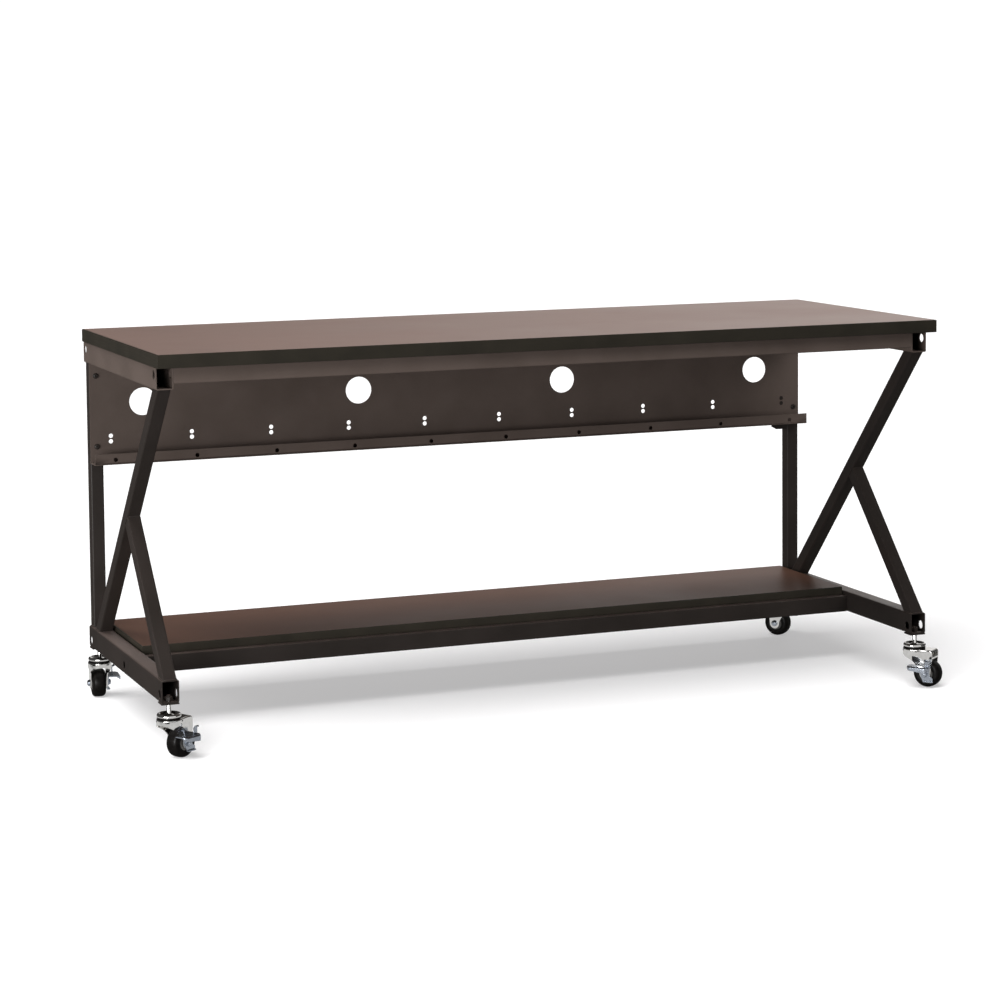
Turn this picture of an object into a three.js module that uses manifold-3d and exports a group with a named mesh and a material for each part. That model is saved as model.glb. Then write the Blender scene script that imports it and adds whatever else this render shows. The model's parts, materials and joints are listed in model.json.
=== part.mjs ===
// Rolling assembly table: laminate worktop on two braced end frames, lower shelf, back panel with a cable
// tray, and four swivel casters with side brakes. Millimetres, +Z up, +Y to the back.
import * as THREE from 'three';
import { mergeVertices } from 'three/addons/utils/BufferGeometryUtils.js';
import Module from 'manifold-3d';

const wasm = await Module();
wasm.setup();

// Gap left between two pieces that are welded, glued or screwed together.
const SEAT_GAP = 0.3;

// Worktop
const WORKTOP_LENGTH = 1828.8;
const WORKTOP_DEPTH = 680;
const WORKTOP_THICKNESS = 28.6;
const EDGE_BAND = 2.5;

// End frames: open-ended side rails, a rear post and two braces each
const SIDE_OVERHANG = 5.4;
const FRONT_OVERHANG = 38;
const FRAME_HEIGHT = 703.5;
const RAIL_LENGTH = 652;
const RAIL_WIDTH = 38;
const RAIL_HEIGHT = 48;
const RAIL_WALL = 2.5;
const RAIL_CORNER = 3.5;
const RAIL_HOLE = 19.5;
const RAIL_HOLE_FROM_END = 18;
const RAIL_HOLE_FROM_EDGE = 17;
const TUBE_SIZE = 30;
const TUBE_WALL = 2;
const TUBE_CORNER = 2.5;
const DIAGONAL_TOP_INSET = 5;
const DIAGONAL_POST_GAP = 16;
const BRACE_FOOT_INSET = 1;

// Front apron under the worktop
const APRON_HEIGHT = 36.5;
const APRON_DEPTH = 25;
const APRON_WALL = 2;

// Lower shelf on two cross beams
const SHELF_DEPTH = 324;
const SHELF_THICKNESS = 19;
const SHELF_END_GAP = 2.5;
const SHELF_REAR_INSET = 4;
const BEAM_SIZE = 38;
const BEAM_WALL = 2;
const BEAM_STEP = 20;
const BEAM_BOLT_HOLE = 18;

// Back panel and cable tray
const SHEET = 1.5;
const PANEL_HEIGHT = 228.6;
const PANEL_TOP_GAP = 1;
const CABLE_HOLE = 63.5;
const CABLE_HOLE_PITCH = 520.7;
const CABLE_HOLE_END = 70;
const CABLE_HOLE_RISE = 136.5;
const SMALL_HOLE = 10;
const SMALL_HOLE_PITCH = 190.5;
const SMALL_HOLE_END = 40;
const SMALL_HOLE_RISE = 48.5;
const SMALL_HOLE_SPACING = 12.7;
const TRAY_DEPTH = 45;
const LIP_HEIGHT = 25.4;
const LIP_HOLE_RISE = 11.5;
const BRACKET_WIDTH = 43;
const BRACKET_RISE = 75;
const BRACKET_DROP = 17;
const BRACKET_TIP = 10;
const BRACKET_SLOPE = 13;
const BRACKET_FLANGE = 22;
const BRACKET_SHEET = 3;
const BOLT_SHANK = 6;
const BOLT_HEAD = 13;
const BOLT_HEAD_HEIGHT = 4.5;
const BOLT_LENGTH = 12;
const BOLT_CLEARANCE = 0.5;
const BOLT_LOW_RISE = 38;
const BOLT_HIGH_RISE = 200;

// Casters
const STEM_GAP = 20;
const STEM_DIAMETER = 9.6;
const STEM_INSET = 15.5;
const STEM_CLEARANCE = 0.4;
const STEM_NUT = 17;
const STEM_NUT_HEIGHT = 9;
const STEM_TIP = 3;
const FOOT_PLATE = 3;
const TRAIL = 34;
const WHEEL_DIAMETER = 65;
const WHEEL_WIDTH = 31;
const TYRE_SHOULDER = 9;
const TYRE_BORE = 34;
const HUB_DISC = 26;
const HUB_BOSS = 16;
const HUB_RECESS = 2;
const DISC_RECESS = 0.5;
const AXLE_DIAMETER = 9;
const AXLE_CLEARANCE = 0.3;
const AXLE_HEAD = 15;
const AXLE_HEAD_HEIGHT = 6;
const AXLE_CHAMFER = 2;
const CAP_DIAMETER = 56;
const CAP_HEIGHT = 9;
const CAP_CHAMFER = 2;
const CAP_DISH = 3;
const HOUSING_DIAMETER = 54;
const HOUSING_HEIGHT = 13;
const HOUSING_CHAMFER = 2.5;
const CROWN_GAP = 12.4;
const SWIVEL_GAP = 0.6;
const FORK_SHEET = 2.5;
const FORK_CLEARANCE = 1.6;
const FORK_TAIL = 17;
const FORK_EYE = 13;
const SHOULDER_DROP = 20;
const STRAP_HEIGHT = 7;
const STRAP_SLOT = 3;
const LEVER_SHEET = 2.2;
const LEVER_RISE = 20;
const LEVER_EYE = 11;
const LEVER_FRONT = 24;
const LEVER_REAR = 12;
const TAIL_LENGTH = 20;
const TAIL_TOP = 8;
const TAIL_FOOT = 18;
const TAIL_FLANGE = 7;
const PEDAL_FRONT = 36;
const PEDAL_REAR = 16;
const PEDAL_WIDTH = 28;
const PEDAL_CORNER = 5;
const PEDAL_LIP_FRONT = 9;
const PEDAL_LIP_REAR = 14;
const TONGUE_PLACE = 10;
const TONGUE_WIDTH = 10;
const TONGUE_HEIGHT = 16;
const TONGUE_OUT = 14;
const TONGUE_CURL = 6;
const CASTERS = [
  { name: 'front_left', side: -1, rear: false, heading: 32 },
  { name: 'front_right', side: 1, rear: false, heading: -53 },
  { name: 'rear_left', side: -1, rear: true, heading: 84 },
  { name: 'rear_right', side: 1, rear: true, heading: 125 },
];

// Places that several pieces share
const housingBottom = WHEEL_DIAMETER + CROWN_GAP;
const housingTop = housingBottom + HOUSING_HEIGHT;
const capBottom = housingTop + SWIVEL_GAP;
const capTop = capBottom + CAP_HEIGHT;
const railBottom = capTop + STEM_GAP + FOOT_PLATE + SEAT_GAP;
const lowerRailTop = railBottom + RAIL_HEIGHT;
const upperRailTop = railBottom + FRAME_HEIGHT;
const upperRailBottom = upperRailTop - RAIL_HEIGHT;
const worktopBottom = upperRailTop + SEAT_GAP;
const railOuter = WORKTOP_LENGTH / 2 - SIDE_OVERHANG;
const railCentre = railOuter - RAIL_WIDTH / 2;
const railInner = railOuter - RAIL_WIDTH;
const railFront = -WORKTOP_DEPTH / 2 + FRONT_OVERHANG;
const railRear = railFront + RAIL_LENGTH;
const postFront = railRear - TUBE_SIZE;
const panelFront = postFront - SEAT_GAP - SHEET;
const panelTop = upperRailBottom - PANEL_TOP_GAP;
const panelBottom = panelTop - PANEL_HEIGHT;
const panelHalf = railCentre + TUBE_SIZE / 2;
const shelfRear = railRear - SHELF_REAR_INSET;
const shelfFront = shelfRear - SHELF_DEPTH;
const shelfBottom = railBottom + BEAM_SIZE + SEAT_GAP;
const frontBeam = shelfFront - BEAM_STEP + BEAM_SIZE / 2;
const rearBeam = shelfRear - BEAM_SIZE / 2;
const wheelRadius = WHEEL_DIAMETER / 2;
const forkInner = WHEEL_WIDTH / 2 + FORK_CLEARANCE;
const forkOuter = forkInner + FORK_SHEET;

// Materials
const steelPaint = () => new THREE.MeshStandardMaterial({ color: 0x3c3532, roughness: 0.55, metalness: 0.3 });
const panelPaint = () => new THREE.MeshStandardMaterial({ color: 0x544a46, roughness: 0.55, metalness: 0.3 });
const laminate = () => new THREE.MeshStandardMaterial({ color: 0x85736a, roughness: 0.4, metalness: 0 });
const bandPlastic = () => new THREE.MeshStandardMaterial({ color: 0x322f28, roughness: 0.5, metalness: 0 });
const chrome = () => new THREE.MeshStandardMaterial({ color: 0xd8d6d2, roughness: 0.15, metalness: 1 });
const zinc = () => new THREE.MeshStandardMaterial({ color: 0xa9adb3, roughness: 0.35, metalness: 0.9 });
const rubber = () => new THREE.MeshStandardMaterial({ color: 0x23201f, roughness: 0.7, metalness: 0 });
const hubPlastic = () => new THREE.MeshStandardMaterial({ color: 0x8f8d8a, roughness: 0.5, metalness: 0.1 });

// Merged copy of a geometry: positions only, no flat triangles, faces turned outwards.
function closed(geometry) {
  const bare = geometry.clone();
  bare.deleteAttribute('normal');
  bare.deleteAttribute('uv');
  const merged = mergeVertices(bare, 1e-4);
  const source = merged.index.array;
  const place = merged.attributes.position;
  const a = new THREE.Vector3();
  const b = new THREE.Vector3();
  const c = new THREE.Vector3();
  const faces = [];
  let volume = 0;
  for (let i = 0; i < source.length; i += 3) {
    const [p, q, r] = [source[i], source[i + 1], source[i + 2]];
    if (p === q || q === r || r === p) continue;
    faces.push(p, q, r);
    a.fromBufferAttribute(place, p);
    b.fromBufferAttribute(place, q);
    c.fromBufferAttribute(place, r);
    volume += a.dot(b.cross(c));
  }
  merged.setIndex(volume < 0 ? faces.reverse() : faces);
  return merged;
}

function toSolid(geometry) {
  const mesh = closed(geometry);
  return new wasm.Manifold(new wasm.Mesh({
    numProp: 3,
    vertProperties: new Float32Array(mesh.attributes.position.array),
    triVerts: new Uint32Array(mesh.index.array),
  }));
}

function toGeometry(solid) {
  const mesh = solid.getMesh();
  const geometry = new THREE.BufferGeometry();
  geometry.setAttribute('position', new THREE.BufferAttribute(new Float32Array(mesh.vertProperties), 3));
  geometry.setIndex(new THREE.BufferAttribute(new Uint32Array(mesh.triVerts), 1));
  return geometry;
}

function cut(geometry, tools) {
  return toGeometry(tools.reduce((solid, tool) => solid.subtract(toSolid(tool)), toSolid(geometry)));
}

function common(first, second) {
  return toGeometry(toSolid(first).intersect(toSolid(second)));
}

function join([first, ...others]) {
  return toGeometry(others.reduce((solid, other) => solid.add(toSolid(other)), toSolid(first)));
}

function piece(name, geometry, material) {
  const mesh = new THREE.Mesh(closed(geometry), material);
  mesh.geometry.computeVertexNormals();
  mesh.name = name;
  return mesh;
}

// Outline of a rectangle with round corners, centred on the origin
function roundedRectangle(Outline, width, height, radius) {
  const [x, y] = [width / 2 - radius, height / 2 - radius];
  const outline = new Outline();
  outline.moveTo(x, -height / 2);
  outline.absarc(x, -y, radius, -Math.PI / 2, 0, false);
  outline.absarc(x, y, radius, 0, Math.PI / 2, false);
  outline.absarc(-x, y, radius, Math.PI / 2, Math.PI, false);
  outline.absarc(-x, -y, radius, Math.PI, 1.5 * Math.PI, false);
  return outline;
}

// Open-ended rectangular tube along +Z from the origin
function tube(width, depth, wall, corner, length) {
  const section = roundedRectangle(THREE.Shape, width, depth, corner);
  const inner = Math.max(corner - wall, wall / 2);
  section.holes.push(roundedRectangle(THREE.Path, width - 2 * wall, depth - 2 * wall, inner));
  return new THREE.ExtrudeGeometry(section, { depth: length, bevelEnabled: false, curveSegments: 1 });
}

const alongX = (geometry) => geometry.rotateY(Math.PI / 2);
const alongY = (geometry) => geometry.rotateX(-Math.PI / 2);

function rod(diameter, length, sides) {
  return new THREE.CylinderGeometry(diameter / 2, diameter / 2, length, sides);
}

const rodX = (diameter, length, sides = 24) => rod(diameter, length, sides).rotateZ(Math.PI / 2);
const rodY = (diameter, length, sides = 24) => rod(diameter, length, sides);
const rodZ = (diameter, length, sides = 24) => rod(diameter, length, sides).rotateX(Math.PI / 2);

function circle(x, y, diameter, sides) {
  const points = [];
  for (let i = 0; i < sides; i += 1) {
    const turn = (2 * Math.PI * i) / sides;
    points.push(new THREE.Vector2(x + (diameter / 2) * Math.cos(turn), y + (diameter / 2) * Math.sin(turn)));
  }
  return new THREE.Path(points);
}

function plate(outline, thickness) {
  return new THREE.ExtrudeGeometry(outline, { depth: thickness, bevelEnabled: false, curveSegments: 5 });
}

const box = (x, y, z) => new THREE.BoxGeometry(x, y, z);
const pairs = (list) => list.map(([x, y]) => new THREE.Vector2(x, y));
const turned = (profile, sides) => new THREE.LatheGeometry(pairs(profile), sides);
const polygon = (points) => new THREE.Shape(pairs(points));
const turnedZ = (profile, sides) => turned(profile, sides).rotateX(Math.PI / 2);

// Hole places along the panel, evenly spaced about its middle and no nearer to its ends than stated
function evenly(pitch, end) {
  const count = 2 * Math.floor((panelHalf - end) / pitch + 0.5);
  return Array.from({ length: count }, (_, i) => (i - (count - 1) / 2) * pitch);
}

// Boards: a core and the dark band round its edge
function board(name, length, depth, thickness, front, bottom) {
  const core = box(length - 2 * EDGE_BAND - 2 * SEAT_GAP, depth - 2 * EDGE_BAND - 2 * SEAT_GAP, thickness);
  core.translate(0, front + depth / 2, bottom + thickness / 2);
  const outline = polygon([[-length / 2, 0], [length / 2, 0], [length / 2, depth], [-length / 2, depth]]);
  const [x, y] = [length / 2 - EDGE_BAND, depth - EDGE_BAND];
  outline.holes.push(new THREE.Path(pairs([[-x, EDGE_BAND], [x, EDGE_BAND], [x, y], [-x, y]])));
  const band = plate(outline, thickness).translate(0, front, bottom);
  return [piece(name, core, laminate()), piece(`${name}_edge_band`, band, bandPlastic())];
}

// Side rail with the round holes near its ends; the lower one also takes the stems and the beam bolts.
function rail(name, lower) {
  const geometry = alongY(tube(RAIL_WIDTH, RAIL_HEIGHT, RAIL_WALL, RAIL_CORNER, RAIL_LENGTH));
  const bottom = lower ? railBottom : upperRailBottom;
  geometry.translate(0, railFront, bottom + RAIL_HEIGHT / 2);
  const height = lower ? bottom + RAIL_HOLE_FROM_EDGE : bottom + RAIL_HEIGHT - RAIL_HOLE_FROM_EDGE;
  const tools = [railFront + RAIL_HOLE_FROM_END, railRear - RAIL_HOLE_FROM_END]
    .map((y) => rodX(RAIL_HOLE, RAIL_WIDTH * 2, 18).translate(0, y, height));
  if (lower) {
    tools.push(rodX(BEAM_BOLT_HOLE, RAIL_WIDTH * 2, 18).translate(0, frontBeam, bottom + BEAM_SIZE / 2));
    for (const y of [railFront + STEM_INSET, railRear - STEM_INSET]) {
      tools.push(rodZ(STEM_DIAMETER + 2 * STEM_CLEARANCE, RAIL_WALL * 4, 16).translate(0, y, bottom));
    }
  }
  return piece(name, cut(geometry, tools), lower ? steelPaint() : panelPaint());
}

function post(name) {
  const height = upperRailBottom - lowerRailTop - 2 * SEAT_GAP;
  const geometry = tube(TUBE_SIZE, TUBE_SIZE, TUBE_WALL, TUBE_CORNER, height);
  geometry.translate(0, postFront + TUBE_SIZE / 2, lowerRailTop + SEAT_GAP);
  const tools = [BOLT_LOW_RISE, BOLT_HIGH_RISE]
    .map((rise) => rodY(BOLT_SHANK + 2 * BOLT_CLEARANCE, TUBE_WALL * 4, 10)
      .translate(0, postFront, panelBottom + rise));
  return piece(name, cut(geometry, tools), steelPaint());
}

// Slope of the long diagonal: it fills the way from its top inset to its gap at the post's foot.
const diagonalRise = upperRailBottom - lowerRailTop;
const diagonalRun = postFront - DIAGONAL_POST_GAP - (railFront + DIAGONAL_TOP_INSET);
const diagonalAngle = Math.atan2(diagonalRise, diagonalRun)
  + Math.asin(TUBE_SIZE / Math.hypot(diagonalRise, diagonalRun));
const diagonalTop = new THREE.Vector2(railFront + DIAGONAL_TOP_INSET, upperRailBottom);
const diagonalFoot = new THREE.Vector2(diagonalTop.x + diagonalRise / Math.tan(diagonalAngle), lowerRailTop);
const braceTop = diagonalTop.clone().add(diagonalFoot).multiplyScalar(0.5);
const braceFoot = new THREE.Vector2(railFront + BRACE_FOOT_INSET, lowerRailTop);

// Tube whose upper or lower edge runs through two points (y, z), longer than needed at both ends
function slopedTube(from, to, below) {
  const along = to.clone().sub(from);
  const length = along.length() + 6 * TUBE_SIZE;
  const geometry = tube(TUBE_SIZE, TUBE_SIZE, TUBE_WALL, TUBE_CORNER, length);
  geometry.translate(0, below ? TUBE_SIZE / 2 : -TUBE_SIZE / 2, -3 * TUBE_SIZE);
  geometry.rotateX(-Math.atan2(along.x, along.y));
  return geometry.translate(0, from.x, from.y);
}

// Large block that takes away everything above or below a height
function beyond(height, above) {
  const size = 4 * RAIL_LENGTH;
  return box(size, size, size).translate(0, 0, height + (above ? size / 2 : -size / 2));
}

function diagonal(name) {
  const raw = slopedTube(diagonalFoot, diagonalTop, true);
  const ends = [beyond(upperRailBottom - SEAT_GAP, true), beyond(lowerRailTop + SEAT_GAP, false)];
  return piece(name, cut(raw, ends), steelPaint());
}

// Short brace, cut off along the lower face of the diagonal
function brace(name) {
  const raw = slopedTube(braceFoot, braceTop, true);
  const size = 4 * RAIL_LENGTH;
  const along = diagonalTop.clone().sub(diagonalFoot);
  const face = box(size, size, size).translate(0, size / 2 - SEAT_GAP, 0);
  face.rotateX(-Math.atan2(along.x, along.y)).translate(0, diagonalFoot.x, diagonalFoot.y);
  return piece(name, cut(raw, [face, beyond(lowerRailTop + SEAT_GAP, false)]), steelPaint());
}

function endFrame(label, side) {
  const frame = new THREE.Group();
  frame.position.x = side * railCentre;
  frame.add(
    rail(`upper_rail_${label}`, false),
    rail(`lower_rail_${label}`, true),
    post(`rear_post_${label}`),
    diagonal(`diagonal_${label}`),
    brace(`brace_${label}`),
  );
  return frame;
}

// Cross tube between the inner faces of the side rails
function crossTube(name, depth, height, wall, middle, bottom, paint) {
  const length = 2 * (railInner - SEAT_GAP);
  const geometry = alongX(tube(height, depth, wall, TUBE_CORNER, length));
  geometry.translate(-length / 2, middle, bottom + height / 2);
  return piece(name, geometry, paint);
}

function backPanel() {
  const outline = polygon([
    [-panelHalf, 0], [panelHalf, 0], [panelHalf, PANEL_HEIGHT], [-panelHalf, PANEL_HEIGHT],
  ]);
  for (const x of evenly(CABLE_HOLE_PITCH, CABLE_HOLE_END)) {
    outline.holes.push(circle(x, CABLE_HOLE_RISE, CABLE_HOLE, 28));
  }
  for (const x of evenly(SMALL_HOLE_PITCH, SMALL_HOLE_END)) {
    outline.holes.push(circle(x, SMALL_HOLE_RISE, SMALL_HOLE, 10));
    outline.holes.push(circle(x, SMALL_HOLE_RISE + SMALL_HOLE_SPACING, SMALL_HOLE, 10));
  }
  for (const x of [-railCentre, railCentre]) {
    for (const rise of [BOLT_LOW_RISE, BOLT_HIGH_RISE]) {
      outline.holes.push(circle(x, rise, BOLT_SHANK + 2 * BOLT_CLEARANCE, 10));
    }
  }
  const sheet = plate(outline, SHEET).rotateX(Math.PI / 2).translate(0, panelFront + SHEET, panelBottom);
  return piece('back_panel', sheet, panelPaint());
}

function cableTray() {
  const lipFront = panelFront - TRAY_DEPTH;
  const depth = TRAY_DEPTH - SHEET - 2 * SEAT_GAP;
  const floor = box(2 * panelHalf, depth, SHEET);
  floor.translate(0, lipFront + SHEET + SEAT_GAP + depth / 2, panelBottom + SHEET / 2);
  const outline = polygon([
    [-panelHalf, 0], [panelHalf, 0], [panelHalf, LIP_HEIGHT], [-panelHalf, LIP_HEIGHT],
  ]);
  for (const x of evenly(SMALL_HOLE_PITCH, SMALL_HOLE_END)) {
    outline.holes.push(circle(x, LIP_HOLE_RISE, SMALL_HOLE, 10));
  }
  const lip = plate(outline, SHEET).rotateX(Math.PI / 2).translate(0, lipFront + SHEET, panelBottom);
  return [piece('tray_floor', floor, panelPaint()), piece('tray_lip', lip, panelPaint())];
}

// Angle bracket behind the panel, on the inner side of the right post, with its lower corner cut off
function panelBracket() {
  const leaf = plate(polygon([
    [0, -BRACKET_DROP], [0, BRACKET_RISE], [-BRACKET_WIDTH, BRACKET_RISE], [-BRACKET_WIDTH, -BRACKET_TIP],
    [BRACKET_SLOPE - BRACKET_WIDTH, -BRACKET_DROP],
  ]), BRACKET_SHEET).rotateX(Math.PI / 2).translate(0, BRACKET_SHEET, 0);
  const flange = box(BRACKET_SHEET, BRACKET_FLANGE, BRACKET_RISE + BRACKET_DROP);
  flange.translate(-BRACKET_SHEET / 2, BRACKET_FLANGE / 2, (BRACKET_RISE - BRACKET_DROP) / 2);
  const bracket = join([leaf, flange]);
  bracket.translate(railCentre - TUBE_SIZE / 2 - SEAT_GAP, postFront, panelBottom);
  return piece('panel_bracket', bracket, steelPaint());
}

function panelBolt(name, x, rise) {
  const [head, shank] = [BOLT_HEAD / 2, BOLT_SHANK / 2];
  const bolt = turned([
    [0, 0], [head * 0.6, 0], [head, BOLT_HEAD_HEIGHT * 0.5], [head, BOLT_HEAD_HEIGHT],
    [shank, BOLT_HEAD_HEIGHT], [shank, BOLT_HEAD_HEIGHT + BOLT_LENGTH], [0, BOLT_HEAD_HEIGHT + BOLT_LENGTH],
  ], 12);
  bolt.translate(x, panelFront - SEAT_GAP - BOLT_HEAD_HEIGHT, panelBottom + rise);
  return piece(name, bolt, steelPaint());
}

// Plate under a rail end that the caster's stem passes through
function footPlate(name) {
  const half = RAIL_WIDTH / 2;
  const outline = polygon([
    [-half, -STEM_INSET], [half, -STEM_INSET], [half, STEM_INSET], [-half, STEM_INSET],
  ]);
  outline.holes.push(circle(0, 0, STEM_DIAMETER + 2 * STEM_CLEARANCE, 16));
  const sheet = plate(outline, FOOT_PLATE).translate(0, 0, railBottom - SEAT_GAP - FOOT_PLATE);
  return piece(name, sheet, steelPaint());
}

// Threaded stem with the ball race cap at its foot and the nut inside the rail
function stem(name) {
  const [cap, shaft, nut] = [CAP_DIAMETER / 2, STEM_DIAMETER / 2, STEM_NUT / 2];
  const seat = railBottom + RAIL_WALL + SEAT_GAP;
  const nutTop = seat + STEM_NUT_HEIGHT;
  const rim = cap - 2 * CAP_CHAMFER;
  const profile = [
    [0, capBottom], [cap - CAP_CHAMFER, capBottom], [cap, capBottom + CAP_CHAMFER],
    [cap, capTop - 2 * CAP_CHAMFER], [rim, capTop], [rim - CAP_CHAMFER, capTop - CAP_CHAMFER],
    [shaft, capTop - CAP_DISH],
    [shaft, seat], [nut, seat], [nut, nutTop], [shaft, nutTop],
    [shaft, nutTop + STEM_TIP], [0, nutTop + STEM_TIP],
  ];
  return piece(name, turnedZ(profile, 24), chrome());
}

// Outline of a fork leg seen from the side: it narrows from the housing to the eye for the axle
function legOutline(nose, tail, top) {
  const outline = new THREE.Shape();
  outline.moveTo(nose, top);
  outline.lineTo(nose, housingBottom - FORK_SHEET);
  outline.quadraticCurveTo(nose / 2, wheelRadius + FORK_EYE, TRAIL - FORK_EYE, wheelRadius);
  outline.absarc(TRAIL, wheelRadius, FORK_EYE, Math.PI, 2 * Math.PI, false);
  outline.lineTo(tail, housingBottom - FORK_EYE);
  outline.lineTo(tail, top);
  return outline;
}

// Pressed fork: round housing, shoulders that run down into two legs, a bridge and a rear strap
function fork(name) {
  const ring = HOUSING_DIAMETER / 2;
  const [tail, top] = [TRAIL + FORK_TAIL, housingTop - HOUSING_CHAMFER];
  const width = 2 * forkOuter;
  const housing = turnedZ([
    [0, housingBottom], [ring, housingBottom], [ring, housingTop - HOUSING_CHAMFER],
    [ring - HOUSING_CHAMFER, housingTop], [0, housingTop],
  ], 24);
  const shoulder = turnedZ([
    [0, housingBottom - SHOULDER_DROP], [forkOuter, housingBottom - SHOULDER_DROP],
    [ring, housingBottom], [0, housingBottom],
  ], 24);
  const nose = -Math.sqrt(ring ** 2 - forkOuter ** 2);
  const block = box(tail - nose, width, top).translate((tail + nose) / 2, 0, top / 2);
  const outline = legOutline(-ring, tail, top);
  const side = plate(outline, 4 * ring).rotateX(Math.PI / 2).translate(0, 2 * ring, 0);
  const slot = box(4 * tail, 2 * forkInner, 2 * housingBottom);
  const bridge = box(tail, width, FORK_SHEET).translate(tail / 2, 0, top - FORK_SHEET / 2);
  const strap = box(FORK_SHEET, width, STRAP_HEIGHT)
    .translate(tail - FORK_SHEET / 2, 0, housingBottom - STRAP_SLOT - STRAP_HEIGHT / 2);
  const eye = rodY(AXLE_DIAMETER + 2 * AXLE_CLEARANCE, 4 * ring).translate(TRAIL, 0, wheelRadius);
  const legs = cut(common(join([shoulder, block]), side), [slot]);
  return piece(name, cut(join([housing, legs, bridge, strap]), [eye]), chrome());
}

// Axle bolt with a round head at one side and a nut over the brake lever at the other
function axle(name) {
  const [shaft, head, slope] = [AXLE_DIAMETER / 2, AXLE_HEAD / 2, AXLE_HEAD / 2 - AXLE_CHAMFER];
  const left = -forkOuter - LEVER_SHEET - 2 * SEAT_GAP;
  const right = forkOuter + SEAT_GAP;
  const [leftEnd, rightEnd] = [left - AXLE_HEAD_HEIGHT, right + AXLE_HEAD_HEIGHT];
  const profile = [
    [0, leftEnd], [slope, leftEnd], [head, leftEnd + AXLE_CHAMFER], [head, left], [shaft, left],
    [shaft, right], [head, right], [head, rightEnd - AXLE_CHAMFER], [slope, rightEnd], [0, rightEnd],
  ];
  return piece(name, turned(profile, 16).translate(TRAIL, 0, wheelRadius), zinc());
}

function hub(name) {
  const [core, disc, boss] = [TYRE_BORE / 2 - SEAT_GAP, HUB_DISC / 2, HUB_BOSS / 2];
  const bore = AXLE_DIAMETER / 2 + AXLE_CLEARANCE;
  const half = WHEEL_WIDTH / 2;
  const [edge, face, end] = [half - HUB_RECESS, half - DISC_RECESS, forkInner - SEAT_GAP];
  const upper = [[bore, end], [boss, end], [boss, face], [disc, face], [disc, edge], [core, edge]];
  const lower = upper.map(([r, h]) => [r, -h]).reverse();
  const ring = turned([...upper, ...lower, upper[0]], 20);
  return piece(name, ring.translate(TRAIL, 0, wheelRadius), hubPlastic());
}

function tyre(name) {
  const [bore, half, shoulder, sides, steps] = [TYRE_BORE / 2, WHEEL_WIDTH / 2, TYRE_SHOULDER, 32, 3];
  const rim = [];
  for (let i = 0; i <= steps; i += 1) {
    const turn = (Math.PI / 2) * (i / steps);
    const [out, over] = [shoulder * Math.sin(turn), shoulder * Math.cos(turn)];
    rim.push([wheelRadius - shoulder + out, half - shoulder + over]);
  }
  const mirror = rim.map(([r, h]) => [r, -h]).reverse();
  const ring = turned([[bore, half], ...rim, ...mirror, [bore, -half], [bore, half]], sides);
  return piece(name, ring.rotateY(Math.PI / sides).translate(TRAIL, 0, wheelRadius), rubber());
}

// Brake lever beside the fork: a web with an eye on the axle and a tail below, and a wide pedal that
// stands out from the web's top, with a lip turned down along its outer edge and a tongue turned up
function brake(name) {
  const web = plate(polygon([
    [-LEVER_FRONT, LEVER_RISE], [-LEVER_EYE, 0], [-TAIL_TOP / 2, -TAIL_FOOT], [TAIL_LENGTH, -TAIL_FOOT],
    [TAIL_LENGTH, -TAIL_TOP], [LEVER_EYE, 0], [LEVER_REAR, LEVER_RISE],
  ]), LEVER_SHEET).rotateX(Math.PI / 2);
  const [front, rear] = [-PEDAL_FRONT, PEDAL_REAR];
  const tread = plate(polygon([
    [front, 0], [front, -PEDAL_WIDTH + PEDAL_CORNER], [front + PEDAL_CORNER, -PEDAL_WIDTH],
    [rear - PEDAL_CORNER, -PEDAL_WIDTH], [rear, -PEDAL_WIDTH + PEDAL_CORNER], [rear, 0],
  ]), LEVER_SHEET).translate(0, 0, LEVER_RISE - LEVER_SHEET);
  const lip = plate(polygon([
    [front + PEDAL_CORNER, LEVER_RISE], [front + PEDAL_CORNER, LEVER_RISE - PEDAL_LIP_FRONT],
    [rear - PEDAL_CORNER, LEVER_RISE - PEDAL_LIP_REAR], [rear - PEDAL_CORNER, LEVER_RISE],
  ]), LEVER_SHEET).rotateX(Math.PI / 2).translate(0, LEVER_SHEET - PEDAL_WIDTH, 0);
  const tongueTop = LEVER_RISE + TONGUE_HEIGHT;
  const tongue = box(TONGUE_WIDTH, LEVER_SHEET, TONGUE_HEIGHT + LEVER_SHEET)
    .translate(TONGUE_PLACE, -TONGUE_OUT, tongueTop - (TONGUE_HEIGHT + LEVER_SHEET) / 2);
  const curl = box(TONGUE_WIDTH, TONGUE_CURL, LEVER_SHEET)
    .translate(TONGUE_PLACE, -TONGUE_OUT - (TONGUE_CURL - LEVER_SHEET) / 2, tongueTop - LEVER_SHEET / 2);
  const foot = box(TAIL_LENGTH + TAIL_TOP / 2, TAIL_FLANGE, LEVER_SHEET)
    .translate((TAIL_LENGTH - TAIL_TOP / 2) / 2, -TAIL_FLANGE / 2, -TAIL_FOOT + LEVER_SHEET / 2);
  const eye = rodY(AXLE_DIAMETER + 2 * AXLE_CLEARANCE, 2 * LEVER_EYE, 20);
  const lever = cut(join([web, tread, lip, tongue, curl, foot]), [eye]);
  return piece(name, lever.translate(TRAIL, -forkOuter - SEAT_GAP, wheelRadius), zinc());
}

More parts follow.
